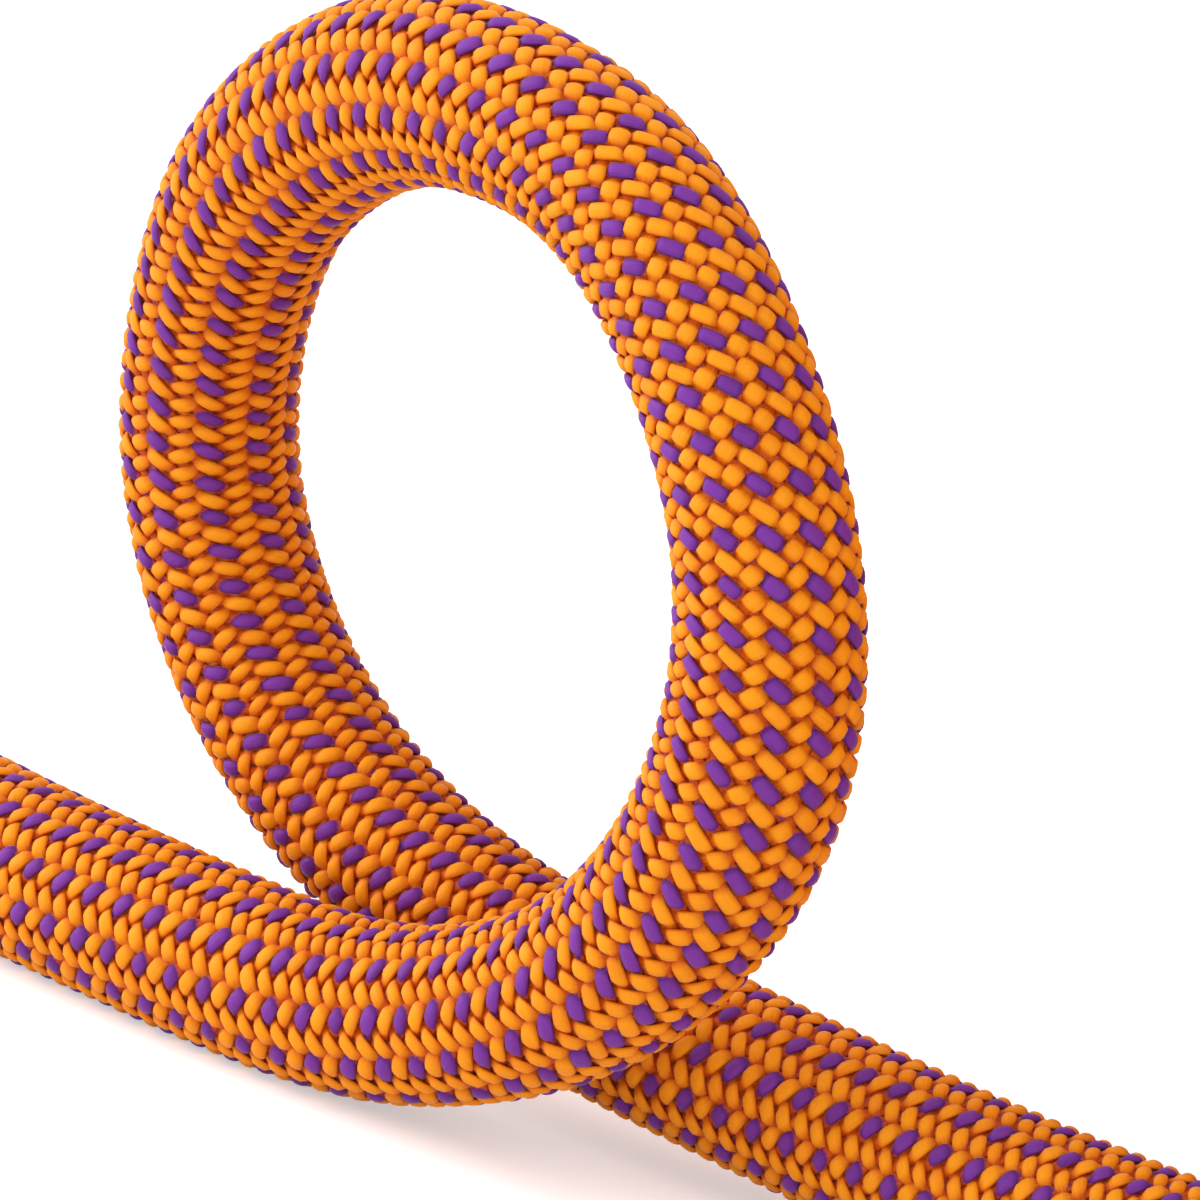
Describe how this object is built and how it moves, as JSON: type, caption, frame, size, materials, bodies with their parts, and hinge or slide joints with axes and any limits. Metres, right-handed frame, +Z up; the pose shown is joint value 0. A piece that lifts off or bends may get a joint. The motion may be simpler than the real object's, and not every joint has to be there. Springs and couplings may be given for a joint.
{
  "type": "dynamic climbing rope",
  "caption": "Dynamic kernmantle climbing rope with a two-colour braided sheath over parallel core strands: one standing loop, sealed and sleeved ends, the rest in a tied round coil.",
  "frame": {"origin": "on the floor, at the centre of the whole part's bounding box in plan", "axes": "+X from the rope's first end towards the coil, +Y away from the side that the standing loop shows, +Z up"},
  "size_m": [0.3838, 0.2528, 0.109],
  "materials": {
    "sheath": "braided polyamide yarn, slight sheen",
    "core": "twisted polyamide yarn, undyed",
    "coil_sheath": "braided polyamide yarn, slight sheen",
    "fused_end": "melted polyamide, satin",
    "shrink_sleeve": "shrink tube, satin",
    "webbing": "woven webbing"
  },
  "bodies": {
    "root": {"sheath": "sheath", "core_strand_01": "core", "core_strand_02": "core", "core_strand_03": "core", "core_strand_04": "core", "core_strand_05": "core", "core_strand_06": "core", "core_strand_07": "core", "core_strand_08": "core", "core_strand_09": "core", "core_strand_10": "core", "core_strand_11": "core", "core_strand_12": "core", "coil_outer_turns": "coil_sheath", "coil_inner_turns": "coil_sheath", "sealed_end_a": "fused_end", "sealed_end_b": "fused_end", "end_sleeve_a": "shrink_sleeve", "end_sleeve_b": "shrink_sleeve", "coil_tie_1": "webbing", "coil_tie_2": "webbing", "coil_tie_3": "webbing"}
  },
  "joints": []
}
